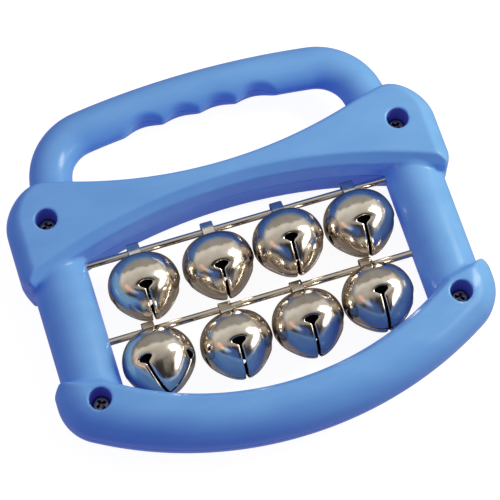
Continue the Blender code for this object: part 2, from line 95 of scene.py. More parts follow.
# Side columns
COLUMN_X = 63.75
COLUMN_HALF_WIDTH = 9.95
COLUMN_HALF_DEPTH = 10.6
COLUMN_SPAN = (-41.0, 15.0)

# Handle
HANDLE_RADIUS = 7.5
HANDLE_Y = 61.6
HANDLE_CURVE_RADIUS = 295.0
HANDLE_CORNER_RADIUS = 18.0
LEG_POINT = (56.9, 44.3)
LEG_DIRECTION = (-0.21, 0.978)
LEG_FOOT_Y = 31.0
LEG_RUN = 200.0
GRIP_X = (-20.0, -6.7, 6.7, 20.0)
GRIP_RADIUS = 9.0
GRIP_DEPTH = 2.0

# Points along the long and the short arcs of an outline
CURVE_STEPS = 40
CORNER_STEPS = 30

# Small radii of the moulding
EDGE_ROUND = 0.5
STEP_ROUND = 1.2
BORE_ROUND = 0.5
BORE_SHADE_MARGIN = 0.15
JOIN_ROUND = 1.3
CREST_ROUND = 1.4
SEAM_CHAMFER = 0.3

# Screws, bosses and rods; the block that holds a rod's end is its half length, half width and height
COUNTERBORE_RADIUS = 3.8
SCREW_HOLE_RADIUS = 1.75
BOSS_RADIUS = 6.0
HEAD_RADIUS = 3.3
HEAD_HEIGHT = 2.6
HEAD_ROUND = 1.2
SHANK_RADIUS = 1.4
SHANK_LENGTH = 13.2
SHANK_INTO_HEAD = 0.5
TIP_LENGTH = 3.0
TIP_SLOPE = 0.5
THREAD_PITCH = 1.1
THREAD_DEPTH = 0.32
RECESS_REACH = 1.8
RECESS_HALF_WIDTH = 0.5
RECESS_DEPTH = 1.7
RECESS_TAPER = (0.55, 0.4)
RECESS_ROUND = 0.12
RECESS_TURN = {"screw_1": 12.0, "screw_2": 38.0, "screw_3": 20.0, "screw_4": 55.0}
ROD_HOLE_RADIUS = 1.5
ROD_BLOCK = (8.0, 4.5, 5.0)
ROD_CHAMFER = 0.35
ROD_SIDES = 32
ROD_RINGS = 24
ROD_END = 1.0

# Bells, each about its own centre; a slot widens from its hole down to the bell's mouth
BELL_COUNT = 8
BELL_RADIUS = 12.5
BELL_WALL = 0.8
DOME_FLATTENING = 1.6
CONE_FLATTENING = 0.85
MOUTH_LENGTHENING = 0.25
PETAL_FLATTENING = 0.16
LIP_DEPTH = 0.22
LIP_REACH = 0.5
SLOT_HALF_WIDTH = (0.34, 0.45)
SLOT_HOLE_DROP = 2.9
SLOT_HOLE_HALF_WIDTH = 2.4
SLOT_HOLE_UP = 1.0
SLOT_HOLE_DOWN = 1.6
SLOT_HOLE_POWER = 1.3
SLOT_JOIN_ROUND = 0.5
BELL_EDGE_ROUND = 0.3
BELL_INWARD_LIMIT = 0.3
SPIN = {"bell_5": -24.0}

# Loop straps
STRAP_WIDTH = 4.3
STRAP_THICKNESS = 0.6
STRAP_EDGE_SHARE = 0.3
STRAP_HALF_SPAN = 2.5
STRAP_TOP = 3.0
STRAP_TAB_DROP = 3.5
STRAP_TAB_REACH = 4.2
STRAP_STEPS = 28
SLIT_PLAY = 0.3
BELL_HANG = 12.35

# Pellets
PELLET_FLAT = 0.25
PELLET_WAVE = 0.05
PELLET_WAVE_RATES = (1.9, 2.3, 2.1)
PELLET_WAVE_STARTS = (0.4, 0.0, 1.0)
PELLET_ROLL = Vector((0.7, 1.1, 0.4))

# Grid cells, and the room left round each solid
SHELL_CELL = 0.5
SHELL_MARGIN = 1.5
CAVITY_CELL = 1.3
BELL_CELL = 0.3
BELL_MARGIN = 0.9
SCREW_CELL = 0.17
SCREW_MARGIN = 0.4
PELLET_CELL = 0.3
PELLET_MARGIN = 0.5
PLAN_CELL = 0.4
PLAN_LOW = (-84.0, -76.0)
PLAN_HIGH = (84.0, 76.0)

# Pulling points onto a surface
GRADIENT_STEP = 0.02
LEAST_STEEPNESS = 0.05
LONGEST_PULL = 0.6
PULL_ROUNDS = 4
NEARLY_ZERO = 1e-9

# Shader colours; noise hardly ever leaves its span
PLASTIC = (0.146, 0.328, 0.44)
PLASTIC_CLOUDS = ((0.3, (0.135, 0.310, 0.42)), (0.7, (0.157, 0.346, 0.46)))
# Painted glow: a blue emission on the plastic, no lamp, that lifts its shaded sides
PLASTIC_PAINTED_GLOW = (0.0, 0.06, 1.0)
PLASTIC_IOR = 1.3
# Painted shade: a darker plastic colour and weaker glow for the faces down the counterbores
BORE_PAINTED_SHADE = (0.08, 0.13, 0.36)
BORE_SHADE_CLOUDS = ((0.3, (0.070, 0.120, 0.34)), (0.7, (0.090, 0.140, 0.38)))
BORE_SHADE_GLOW = (0.04, 0.04, 0.40)
NICKEL = (0.76, 0.70, 0.61)
NICKEL_TARNISH = ((0.32, (0.68, 0.61, 0.52)), (0.62, (0.80, 0.745, 0.66)))
NICKEL_RIM = (0.45, 0.40, 0.38)
# Painted shade and painted blue reflection: the screw heads are coloured dark bluish for the shade down the
# counterbores
SCREW_SHADED_STEEL = (0.17, 0.18, 0.26)
# Painted shade: near-black on the inner faces of each bell's hollow
BELL_INSIDE_SHADE = (0.05, 0.045, 0.04)
PELLET_STEEL = (0.42, 0.43, 0.46)
STEEL_DARKENING = 0.78
STEEL_STOPS = (0.35, 0.65)
NOISE_SPAN = (0.3, 0.7)

# Camera and studio, in metres; a light is its name, direction, size, radiance and colour
CAMERA_TARGET = Vector((0.00296, 0.00412, 0.0))
CAMERA_OFFSET = Vector((-0.0841, -0.2678, 0.7179))
CAMERA_LENS = 158.6
CAMERA_SENSOR = 36.0
LIGHT_DISTANCE = 0.6
LIGHTS = (
    ("softbox", (0.78, 0.05, 0.62), (0.22, 0.34), 16.0, (1.0, 0.96, 0.88)),
    ("side_strip", (0.82, -0.42, 0.42), (0.50, 0.20), 3.4, (1.0, 0.97, 0.92)),
    ("warm_card", (-0.80, -0.25, 0.50), (0.34, 0.13), 0.6, (1.0, 0.33, 0.18)),
    ("pale_card", (-0.64, -0.58, 0.50), (0.30, 0.09), 0.5, (0.60, 0.80, 1.0)),
    ("blue_card", (-0.44, -0.76, 0.48), (0.40, 0.26), 0.35, (0.06, 0.26, 1.0)),
)

# Surroundings: the ceiling's colours run from the front to the back, those below from the bottom upwards
CEILING_WAVES = 1.7
CEILING_DETAIL = 2.0
CEILING_WARP = 0.2
CEILING_SPAN = (-1.0, 1.0)
CEILING_STOPS = (
    (0.00, (0.03, 0.027, 0.025)),
    (0.19, (0.03, 0.027, 0.025)),
    (0.25, (0.34, 0.32, 0.29)),
    (0.42, (0.46, 0.44, 0.41)),
    (0.60, (0.60, 0.585, 0.55)),
    (0.76, (0.82, 0.80, 0.76)),
    (0.825, (0.74, 0.72, 0.68)),
    (0.845, (0.16, 0.15, 0.14)),
    (0.875, (0.34, 0.33, 0.31)),
    (1.00, (0.34, 0.33, 0.32)),
)
BELOW_STOPS = (
    (0.0, (0.34, 0.32, 0.32)),
    (0.14, (0.33, 0.31, 0.30)),
    (0.30, (0.20, 0.17, 0.16)),
    (0.50, (0.30, 0.26, 0.23)),
    (0.62, (0.08, 0.06, 0.06)),
    (1.0, (0.16, 0.14, 0.13)),
)
BELOW_SPAN = (-1.0, 0.2)
HORIZON = (0.02, 0.30)

# Floor, in metres
FLOOR_SIZE = 6.0
FLOOR_DROP = 0.0005
FLOOR_COLOUR = (0.2, 0.2, 0.2)
FLOOR_GLOW = 0.93


# ---------------------------------------------------------------- fields


def both(a, b, radius):
    """The overlap of two solids, its edge rounded."""
    outside = np.hypot(np.maximum(a + radius, 0), np.maximum(b + radius, 0))
    return np.minimum(np.maximum(a, b), -radius) + outside


def either(a, b, radius):
    """The union of two solids, its inner corner filleted."""
    return -both(-a, -b, radius)


def without(a, b, radius):
    """The first solid less the second, its edge rounded."""
    return both(a, -b, radius)


def arc(centre, radius, start, end, steps):
    """Points along an arc between two angles in degrees."""
    angles = np.radians(np.linspace(start, end, steps + 1))
    return [(centre[0] + radius * math.cos(a), centre[1] + radius * math.sin(a)) for a in angles]


def angle_at(x, radius):
    """How far round from its middle, in degrees, an arc centred on x = 0 reaches x."""
    return math.degrees(math.asin(x / radius))


def mirrored(right_half):
    """A closed outline from its right half, which runs from the top to the bottom."""
    return right_half + [(-x, y) for x, y in reversed(right_half)]


class Plan:
    """Signed distance to a closed plan outline, negative inside, read from a fine table."""

    def __init__(self, outline):
        xs = np.arange(PLAN_LOW[0], PLAN_HIGH[0], PLAN_CELL)
        ys = np.arange(PLAN_LOW[1], PLAN_HIGH[1], PLAN_CELL)
        x, y = np.meshgrid(xs, ys, indexing="ij")
        nearest = np.full(x.shape, np.inf)
        inside = np.zeros(x.shape, bool)
        for (ax, ay), (bx, by) in zip(outline, outline[1:] + outline[:1]):
            length = (bx - ax) ** 2 + (by - ay) ** 2
            if length < NEARLY_ZERO:
                continue
            along = np.clip(((x - ax) * (bx - ax) + (y - ay) * (by - ay)) / length, 0, 1)
            away = (x - ax - along * (bx - ax)) ** 2 + (y - ay - along * (by - ay)) ** 2
            nearest = np.minimum(nearest, away)
            if ay != by:
                crossing = ax + (y - ay) * (bx - ax) / (by - ay)
                inside ^= ((ay > y) != (by > y)) & (x < crossing)
        self.table = np.sqrt(nearest) * np.where(inside, -1.0, 1.0)

    def __call__(self, x, y):
        u = (x - PLAN_LOW[0]) / PLAN_CELL
        v = (y - PLAN_LOW[1]) / PLAN_CELL
        i = np.clip(u.astype(int), 0, self.table.shape[0] - 2)
        j = np.clip(v.astype(int), 0, self.table.shape[1] - 2)
        u, v = u - i, v - j
        t = self.table
        near = t[i, j] * (1 - v) + t[i, j + 1] * v
        far = t[i + 1, j] * (1 - v) + t[i + 1, j + 1] * v
        return near * (1 - u) + far * u


def upper_outline():
    """The upper block's top edge, shoulders and sides, left long below its arch."""
    reach = angle_at(TOP_EDGE_REACH, TOP_EDGE_RADIUS)
    top = arc((0, TOP_EDGE_Y + TOP_EDGE_RADIUS), TOP_EDGE_RADIUS, -90, -90 + reach, CURVE_STEPS)
    shoulder = arc(SCREWS["screw_2"][:2], SHOULDER_RADIUS, SHOULDER_START, 0, CORNER_STEPS)
    return mirrored(top + shoulder + [(HALF_WIDTH, UPPER_RUN_DOWN_TO)])


def lower_outside_outline():
    """The lower block's outer edge and corners, left long above its inner edge."""
    centre_y = LOWER_OUTER_Y + LOWER_OUTER_RADIUS
    corner_x = HALF_WIDTH - LOWER_CORNER_RADIUS
    reach = LOWER_OUTER_RADIUS - LOWER_CORNER_RADIUS
    corner = (corner_x, centre_y - math.sqrt(reach**2 - corner_x**2))
    meet = math.degrees(math.atan2(corner[1] - centre_y, corner_x))
    side = arc(corner, LOWER_CORNER_RADIUS, 0, meet, CORNER_STEPS)
    outer = arc((0, centre_y), LOWER_OUTER_RADIUS, meet, -90, CURVE_STEPS)
    return mirrored([(HALF_WIDTH, LOWER_RUN_UP_TO)] + side + outer[1:])


def lower_inside_outline():
    """Everything below the lower block's inner edge and its two steps."""
    reach = angle_at(LOWER_INNER_REACH, LOWER_INNER_RADIUS)
    centre = (0, LOWER_INNER_Y + LOWER_INNER_RADIUS)
    inner = arc(centre, LOWER_INNER_RADIUS, -90, -90 + reach, CURVE_STEPS)
    return mirrored([*inner, *LOWER_STEP, *LOWER_BEYOND])


def handle_outline():
    """The handle's centre line, with its legs run on far below so that it closes out of the way."""
    leg_point = Vector(LEG_POINT)
    leg = Vector(LEG_DIRECTION).normalized()
    inward = Vector((-leg.y, leg.x))
    centre = Vector((0.0, HANDLE_Y - HANDLE_CURVE_RADIUS))
    reach = HANDLE_CURVE_RADIUS - HANDLE_CORNER_RADIUS
    start = leg_point + inward * HANDLE_CORNER_RADIUS - centre
    along = -start.dot(leg) + math.sqrt(start.dot(leg) ** 2 - start.length_squared + reach**2)
    corner = centre + start + leg * along
    meet = math.degrees(math.atan2(corner.y - centre.y, corner.x))
    leg_angle = math.degrees(math.atan2(-inward.y, -inward.x))
    grip = arc(centre, HANDLE_CURVE_RADIUS, 90, meet, CURVE_STEPS)
    bend = arc(corner, HANDLE_CORNER_RADIUS, meet, leg_angle, CORNER_STEPS)
    foot = leg_point - leg * LEG_RUN
    return mirrored(grip + bend[1:] + [tuple(foot)])


def soft_rim(plan, height, width, depth):
    """A plate of half thickness MID_Z whose rim is a quarter ellipse of that width and depth."""
    u = np.maximum((plan + width) / width, 0)
    v = np.maximum((height - MID_Z + depth) / depth, 0)
    reach = np.hypot(u, v)
    slope = np.hypot(u / width, v / depth)
    curved = (reach - 1) * reach / np.maximum(slope, NEARLY_ZERO)
    return np.where(reach > NEARLY_ZERO, curved, np.maximum(plan, height - MID_Z))


def chamfered(plan, height, size):
    """A limit on a plate: an edge along the plan line with a flat chamfer of that width and depth."""
    width, depth = size
    slope = (plan / width + (height - MID_Z) / depth + 1) / math.hypot(1 / width, 1 / depth)
    return both(plan, slope, EDGE_ROUND)


def ramp(value, low, high):
    """Rises smoothly from 0 at low to 1 at high."""
    t = np.clip((value - low) / (high - low), 0, 1)
    return t * t * (3 - 2 * t)


def half_plane(x, y, line):
    """Distance from the line through two points, positive on the left of the way from one to the other."""
    (ax, ay), (bx, by) = line
    length = math.hypot(bx - ax, by - ay)
    return ((x - ax) * (ay - by) + (y - ay) * (bx - ax)) / length


def upper_block(x, y, height):
    side = ramp(np.abs(x), UPPER_SIDE_FROM_X, HALF_WIDTH)
    width = UPPER_EDGE[0] + (UPPER_SIDE[0] - UPPER_EDGE[0]) * side
    depth = UPPER_EDGE[1] + (UPPER_SIDE[1] - UPPER_EDGE[1]) * side
    block = soft_rim(PLANS["upper"](x, y), height, width, depth)
    arch = ARCH_RADIUS - np.hypot(x, y - ARCH_Y + ARCH_RADIUS)
    block = both(block, chamfered(arch, height, ARCH_CHAMFER), EDGE_ROUND)
    return both(block, half_plane(np.abs(x), y, UPPER_STEP), STEP_ROUND)


def lower_block(x, y, height):
    block = soft_rim(PLANS["lower_outside"](x, y), height, *LOWER_OUTSIDE)
    inside = chamfered(PLANS["lower_inside"](x, y), height, LOWER_CHAMFER)
    return both(block, inside, EDGE_ROUND)


def columns(x, y, height):
    reach = np.hypot((np.abs(x) - COLUMN_X) / COLUMN_HALF_WIDTH, height / COLUMN_HALF_DEPTH)
    low, high = COLUMN_SPAN
    return np.maximum((reach - 1) * COLUMN_HALF_WIDTH, np.abs(y - (low + high) / 2) - (high - low) / 2)


def handle(x, y, height):
    bar = np.hypot(PLANS["handle"](x, y), height) - HANDLE_RADIUS
    under = HANDLE_Y - HANDLE_RADIUS + GRIP_DEPTH - GRIP_RADIUS
    for grip_x in GRIP_X:
        bar = without(bar, np.hypot(x - grip_x, y - under) - GRIP_RADIUS, CREST_ROUND)
    return np.maximum(bar, LEG_FOOT_Y - y)


def frame_field(x, y, height):
    """The whole moulded frame; height is the distance from the parting plane, so both faces are alike."""
    solid = either(upper_block(x, y, height), columns(x, y, height), JOIN_ROUND)
    solid = either(solid, lower_block(x, y, height), JOIN_ROUND)
    return either(solid, handle(x, y, height), JOIN_ROUND)


def shell_field(front):
    """The half shell's outside with its counterbores, screw holes and rod seats."""

    def field(x, y, height):
        solid = frame_field(x, y, height)
        for sx, sy, seat in SCREWS.values():
            radial = np.hypot(x - sx, y - sy)
            if front:
                bore = np.maximum(radial - COUNTERBORE_RADIUS, seat - MID_Z - height)
                solid = without(solid, bore, BORE_ROUND)
            hole = np.maximum(radial - SCREW_HOLE_RADIUS, height - MID_Z + 2 * WALL)
            solid = np.maximum(solid, -hole)
        for rod_y, rod_reach in RODS.values():
            seat_x = np.abs(x) - rod_reach - PARTING_GAP
            seat = np.maximum(np.hypot(y - rod_y, height + PARTING_GAP / 2) - ROD_HOLE_RADIUS, seat_x)
            solid = without(solid, seat, PARTING_GAP)
        return solid

    return field


def cavity_field(x, y, height):
    """The hollow inside a half shell, clear of the bosses and of the blocks that hold the rods."""
    hollow = frame_field(x, y, height) + WALL
    for sx, sy, _ in SCREWS.values():
        hollow = np.maximum(hollow, BOSS_RADIUS - np.hypot(x - sx, y - sy))
    for rod_y, rod_reach in RODS.values():
        block = np.maximum(np.abs(y - rod_y) - ROD_BLOCK[1], height - ROD_BLOCK[2])
        block = np.maximum(block, np.abs(np.abs(x) - rod_reach) - ROD_BLOCK[0])
        hollow = np.maximum(hollow, -block)
    return hollow


def bell_reach(up):
    """The bell's outer radius at an angle above (+) or below (-) its widest plane."""
    dome = BELL_RADIUS - DOME_FLATTENING * np.sin(up) ** 4
    cone = BELL_RADIUS + MOUTH_LENGTHENING * np.sin(up) ** 2 - CONE_FLATTENING * np.sin(2 * up) ** 2
    return np.where(up >= 0, dome, cone)


def slot_and_hole(across, z):
    """The plan of one slot and of the hole at its top, seen square on."""
    drop = -SLOT_HOLE_DROP - z
    share = np.clip(drop / (BELL_RADIUS - SLOT_HOLE_DROP), 0, 1)
    half = SLOT_HALF_WIDTH[0] + (SLOT_HALF_WIDTH[1] - SLOT_HALF_WIDTH[0]) * share
    slot = np.maximum(np.abs(across) - half, -drop)
    wide = np.abs(across / SLOT_HOLE_HALF_WIDTH)
    above = np.hypot(wide, drop / SLOT_HOLE_UP)
    pointed = wide**SLOT_HOLE_POWER + np.abs(drop / SLOT_HOLE_DOWN) ** SLOT_HOLE_POWER
    below = pointed ** (1 / SLOT_HOLE_POWER)
    hole = (np.where(drop < 0, above, below) - 1) * SLOT_HOLE_UP
    return either(slot, hole, SLOT_JOIN_ROUND)


def bell_field(spin):
    """A hollow bell about its own centre, mouth down, its four slots turned by spin degrees."""
    c, s = math.cos(math.radians(spin)), math.sin(math.radians(spin))

    def field(x, y, z):
        u, v = x * c + y * s, y * c - x * s
        cuts = np.minimum(slot_and_hole(u, z), slot_and_hole(v, z))
        flat = np.hypot(x, y)
        up = np.arctan2(z, flat)
        petal = (1 - np.cos(4 * np.arctan2(v, u))) / 2 * np.sin(2 * np.minimum(up, 0)) ** 2
        lip = LIP_DEPTH * np.exp(-((np.maximum(cuts, 0) / LIP_REACH) ** 2))
        away = np.hypot(flat, z) - bell_reach(up) + PETAL_FLATTENING * petal + lip
        skin = both(away, -away - BELL_WALL, BELL_EDGE_ROUND)
        bell = without(skin, cuts, BELL_EDGE_ROUND)
        slit = np.maximum(
            np.abs(x) - STRAP_WIDTH / 2 - SLIT_PLAY,
            np.abs(np.abs(y) - STRAP_HALF_SPAN) - STRAP_THICKNESS / 2 - SLIT_PLAY,
        )
        return without(bell, np.maximum(slit, -z), BELL_EDGE_ROUND / 2)

    return field


def pellet_field(radius):
    """A shot that is a little uneven and has one flat."""

    def field(x, y, z):
        wave = PELLET_WAVE
        for place, rate, start in zip((x, y, z), PELLET_WAVE_RATES, PELLET_WAVE_STARTS):
            wave = wave * np.sin(rate * place + start)
        ball = np.sqrt(x * x + y * y + z * z) - radius + PELLET_WAVE + wave
        return both(ball, z - radius + PELLET_FLAT, 2 * PELLET_FLAT)

    return field


def screw_field(x, y, z):
    """A pan head over its own seat at z = 0, a tapered cross recess and a threaded shank."""
    radial = np.hypot(x, y)
    head = both(radial - HEAD_RADIUS, z - HEAD_HEIGHT, HEAD_ROUND)
    head = np.maximum(head, -z)
    taper = (HEAD_HEIGHT - z) / RECESS_DEPTH
    reach = RECESS_REACH * (1 - RECESS_TAPER[0] * taper)
    half = RECESS_HALF_WIDTH * (1 - RECESS_TAPER[1] * taper)
    arm_x = np.maximum(np.abs(x) - reach, np.abs(y) - half)
    arm_y = np.maximum(np.abs(y) - reach, np.abs(x) - half)
    recess = np.maximum(np.minimum(arm_x, arm_y), HEAD_HEIGHT - RECESS_DEPTH - z)
    head = without(head, recess, RECESS_ROUND)
    turn = (z / THREAD_PITCH - np.arctan2(y, x) / (2 * math.pi)) % 1.0
    thread = THREAD_DEPTH * (1 - 2 * np.abs(turn - 0.5))
    narrowing = TIP_SLOPE * np.maximum(-z - SHANK_LENGTH + TIP_LENGTH, 0)
    shank = np.maximum(radial - SHANK_RADIUS + THREAD_DEPTH - thread + narrowing, -z - SHANK_LENGTH)
    return np.minimum(head, np.maximum(shank, z - SHANK_INTO_HEAD))


# ---------------------------------------------------------------- meshes


CORNERS = np.array([(i, j, k) for i in (0, 1) for j in (0, 1) for k in (0, 1)])
PAIRS = [(a, b) for a in range(len(CORNERS)) for b in range(a + 1, len(CORNERS))]
CELL_EDGES = [(a, b) for a, b in PAIRS if abs(CORNERS[a] - CORNERS[b]).sum() == 1]


def value_and_slope(field, points):
    """The field's value and its slope along X, Y and Z at each point."""
    place = [points[:, i] for i in range(3)]
    slope = np.empty_like(points)
    for i in range(3):
        ahead, behind = list(place), list(place)
        ahead[i] = place[i] + GRADIENT_STEP
        behind[i] = place[i] - GRADIENT_STEP
        slope[:, i] = (field(*ahead) - field(*behind)) / (2 * GRADIENT_STEP)
    return field(*place), slope


def pull(field, points, cell, free=(1, 1, 1)):
    """Moves points onto the field's zero surface, along the axes that are free."""
    free = np.array(free, float)
    for _ in range(PULL_ROUNDS):
        value, slope = value_and_slope(field, points)
        slope = slope * free
        steep = np.maximum((slope**2).sum(1), LEAST_STEEPNESS)
        move = -(value / steep)[:, None] * slope
        length = np.linalg.norm(move, axis=1)[:, None]
        points = points + move * np.minimum(1, LONGEST_PULL * cell / np.maximum(length, NEARLY_ZERO))
    return points


def cell_points(value):
    """A vertex amid the crossings of each grid cell that the surface cuts, and a grid of their numbers."""
    inside = value < 0
    counts = [size - 1 for size in value.shape]
    mixed = np.zeros(counts, int)
    for i, j, k in CORNERS:
        mixed += inside[i : i + counts[0], j : j + counts[1], k : k + counts[2]]
    cells = np.argwhere((mixed > 0) & (mixed < len(CORNERS)))
    number = np.full(counts, -1)
    number[tuple(cells.T)] = np.arange(len(cells))
    at = [value[tuple((cells + corner).T)] for corner in CORNERS]
    total = np.zeros((len(cells), 3))
    crossings = np.zeros(len(cells))
    for a, b in CELL_EDGES:
        crossed = (at[a] < 0) != (at[b] < 0)
        share = np.where(crossed, at[a] / np.where(crossed, at[a] - at[b], 1), 0)
        total += crossed[:, None] * (CORNERS[a] + share[:, None] * (CORNERS[b] - CORNERS[a]))
        crossings += crossed
    return cells + total / crossings[:, None], number


def cell_quads(inside, number):
    """A quad round each grid edge that the surface cuts, through the vertices of the four cells beside it."""
    limit = np.array(number.shape)
    quads = []
    for axis in range(3):
        one, two = (axis + 1) % 3, (axis + 2) % 3
        start = np.moveaxis(inside, axis, 0)
        changed = np.moveaxis(start[:-1] != start[1:], 0, axis)
        edges = np.argwhere(changed)
        usable = (edges[:, one] > 0) & (edges[:, two] > 0)
        usable &= (edges[:, one] < limit[one]) & (edges[:, two] < limit[two])
        edges = edges[usable]
        around = []
        for back_one, back_two in ((1, 1), (0, 1), (0, 0), (1, 0)):
            cell_at = edges.copy()
            cell_at[:, one] -= back_one
            cell_at[:, two] -= back_two
            around.append(number[tuple(cell_at.T)])
        quad = np.stack(around, 1)
        entering = ~inside[tuple(edges.T)]
        quad[entering] = quad[entering, ::-1]
        quads.append(quad)
    return np.concatenate(quads)


def surface_net(field, low, high, cell):
    """Vertices and quads of the field's zero surface, one vertex in each grid cell that it crosses."""
    axes = [np.arange(lo, hi + cell, cell) for lo, hi in zip(low, high)]
    value = field(*np.meshgrid(*axes, indexing="ij"))
    points, number = cell_points(value)
    points = np.array([a[0] for a in axes]) + points * cell
    return pull(field, points, cell), cell_quads(value < 0, number)


def mesh_from(name, points, faces):
    """A Blender mesh in metres from points in mm."""
    mesh = bpy.data.meshes.new(name)
    mesh.from_pydata((points * MM).tolist(), [], faces.tolist())
    return mesh


def finished(bm, name):
    """Turns the drawing into a mesh and frees it."""
    mesh = bpy.data.meshes.new(name)
    bm.to_mesh(mesh)
    bm.free()
    return mesh


def ring_mesh(name, rings):
    """A solid bar through rings of points in mm, all with the same count, its ends closed flat."""
    bm = bmesh.new()
    rings = [[bm.verts.new(Vector(point) * MM) for point in ring] for ring in rings]
    for one, two in zip(rings, rings[1:]):
        for i in range(len(one)):
            j = (i + 1) % len(one)
            bm.faces.new((one[i], one[j], two[j], two[i]))
    bm.faces.new(rings[0])
    bm.faces.new(rings[-1])
    bmesh.ops.recalc_face_normals(bm, faces=bm.faces)
    return finished(bm, name)


def add_piece(name, mesh, materials, body, stands_for, sharp=None):
    """Adds the mesh, already in place, as a piece that rides on a body and stands for a CAD node."""
    obj = bpy.data.objects.new(name, mesh)
    bpy.context.scene.collection.objects.link(obj)
    for material in materials:
        mesh.materials.append(material)
    mesh.shade_smooth()
    if sharp is not None:
        mesh.set_sharp_from_angle(angle=math.radians(sharp))
    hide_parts(stands_for)
    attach(obj, body)


def placed(mesh, matrix):
    """A copy of the mesh moved to where it belongs, so that its object stays at the origin."""
    copy = mesh.copy()
    copy.transform(matrix)
    return copy


def shell_skin(name, field, cell, inset, flip):
    """One skin of a half shell, run on to a flat rim at the parting plane that lies that far inside."""
    low = (-HALF_WIDTH - SHELL_MARGIN, LOWER_OUTER_Y - SHELL_MARGIN, PARTING_GAP / 2)
    high = (HALF_WIDTH + SHELL_MARGIN, HANDLE_Y + HANDLE_RADIUS + SHELL_MARGIN, MID_Z + SHELL_MARGIN)
    points, quads = surface_net(field, low, high, cell)
    part = mesh_from(name, points, quads[:, ::-1] if flip else quads)
    layer = bmesh.new()
    layer.from_mesh(part)
    bpy.data.meshes.remove(part)
    border = [e for e in layer.edges if e.is_boundary]
    made = bmesh.ops.extrude_edge_only(layer, edges=border)["geom"]
    ring = [v for v in made if isinstance(v, bmesh.types.BMVert)]
    flat = np.array([v.co for v in ring]) / MM
    flat[:, 2] = PARTING_GAP / 2
    flat = pull(lambda *place: field(*place) + inset, flat, cell, free=(1, 1, 0))
    for vertex, place in zip(ring, flat * MM):
        vertex.co = place
    return finished(layer, name)


def shell_mesh(name, front):
    """A hollow half shell: its outside and its cavity, joined by a flat face at the parting plane."""
    bm = bmesh.new()
    for skin in (
        shell_skin(name, shell_field(front), SHELL_CELL, inset=SEAM_CHAMFER, flip=False),
        shell_skin(name, cavity_field, CAVITY_CELL, inset=0.0, flip=True),
    ):
        bm.from_mesh(skin)
        bpy.data.meshes.remove(skin)
    seam = [e for e in bm.edges if e.is_boundary]
    bmesh.ops.triangle_fill(bm, edges=seam, use_beauty=False, normal=(0, 0, -1))
    for vertex in bm.verts:
        vertex.co.z = MID_Z * MM + (vertex.co.z if front else -vertex.co.z)
    bmesh.ops.recalc_face_normals(bm, faces=bm.faces)
    return finished(bm, name)


def solid_mesh(name, field, low, high, cell):
    points, quads = surface_net(field, low, high, cell)
    return mesh_from(name, points, quads)


def turned_bar(name, half_length, radius):
    """A round bar along X, its ends chamfered."""
    profile = [(-half_length, radius - ROD_CHAMFER), (-half_length + ROD_CHAMFER, radius)]
    profile += [(x, radius) for x in np.linspace(-half_length + ROD_END, half_length - ROD_END, ROD_RINGS)]
    profile += [(half_length - ROD_CHAMFER, radius), (half_length, radius - ROD_CHAMFER)]
    turns = [2 * math.pi * i / ROD_SIDES for i in range(ROD_SIDES)]
    rings = [[(x, reach * math.cos(a), reach * math.sin(a)) for a in turns] for x, reach in profile]
    return ring_mesh(name, rings)


def strap_path():
    """The strap's middle line across the rod at the origin: an arch whose feet are bent outwards."""
    rise = STRAP_TOP + STRAP_TAB_DROP
    path = [Vector((STRAP_TAB_REACH, -STRAP_TAB_DROP))]
    for i in range(STRAP_STEPS + 1):
        a = math.pi * i / STRAP_STEPS
        path.append(Vector((STRAP_HALF_SPAN * math.cos(a), rise * math.sin(a) - STRAP_TAB_DROP)))
    path.append(Vector((-STRAP_TAB_REACH, -STRAP_TAB_DROP)))
    return path


def strap_mesh(name):
    """A flat strap with eased edges, bent along its path."""
    edge = STRAP_THICKNESS * STRAP_EDGE_SHARE
    w, t = STRAP_WIDTH / 2, STRAP_THICKNESS / 2
    section = [(w, edge - t), (w, t - edge), (w - edge, t), (edge - w, t)]
    section += [(-w, t - edge), (-w, edge - t), (edge - w, -t), (w - edge, -t)]
    path = strap_path()
    rings = []
    for i, point in enumerate(path):
        ahead = (path[min(i + 1, len(path) - 1)] - path[max(i - 1, 0)]).normalized()
        normal = Vector((-ahead.y, ahead.x))
        rings.append([(x, point.x + normal.x * out, point.y + normal.y * out) for x, out in section])
    return ring_mesh(name, rings)


# ---------------------------------------------------------------- materials


def new_material(name, colour, metallic, roughness):
    """A Principled material with its all-over values on the shader's own sockets."""
    material = bpy.data.materials.new(name)
    material.use_nodes = True
    shader = material.node_tree.nodes["Principled BSDF"]
    shader.inputs["Base Color"].default_value = (*colour, 1)
    shader.inputs["Metallic"].default_value = metallic
    shader.inputs["Roughness"].default_value = roughness
    return material, shader


def noise(material, waves, detail, stretch=(1, 1, 1)):
    """Noise in the piece's own space, with that many waves to a metre and levels of finer detail."""
    nodes, links = material.node_tree.nodes, material.node_tree.links
    place = nodes.new("ShaderNodeTexCoord")
    mapping = nodes.new("ShaderNodeMapping")
    mapping.inputs["Scale"].default_value = stretch
    texture = nodes.new("ShaderNodeTexNoise")
    texture.inputs["Scale"].default_value = waves
    texture.inputs["Detail"].default_value = detail
    links.new(place.outputs["Object"], mapping.inputs["Vector"])
    links.new(mapping.outputs["Vector"], texture.inputs["Vector"])
    return texture.outputs["Fac"]


def colour_ramp(nodes, stops):
    ramp_node = nodes.new("ShaderNodeValToRGB")
    points = ramp_node.color_ramp.elements
    while len(points) < len(stops):
        points.new(0.5)
    for point, (position, colour) in zip(points, stops):
        point.position = position
        point.color = (*colour, 1)
    return ramp_node


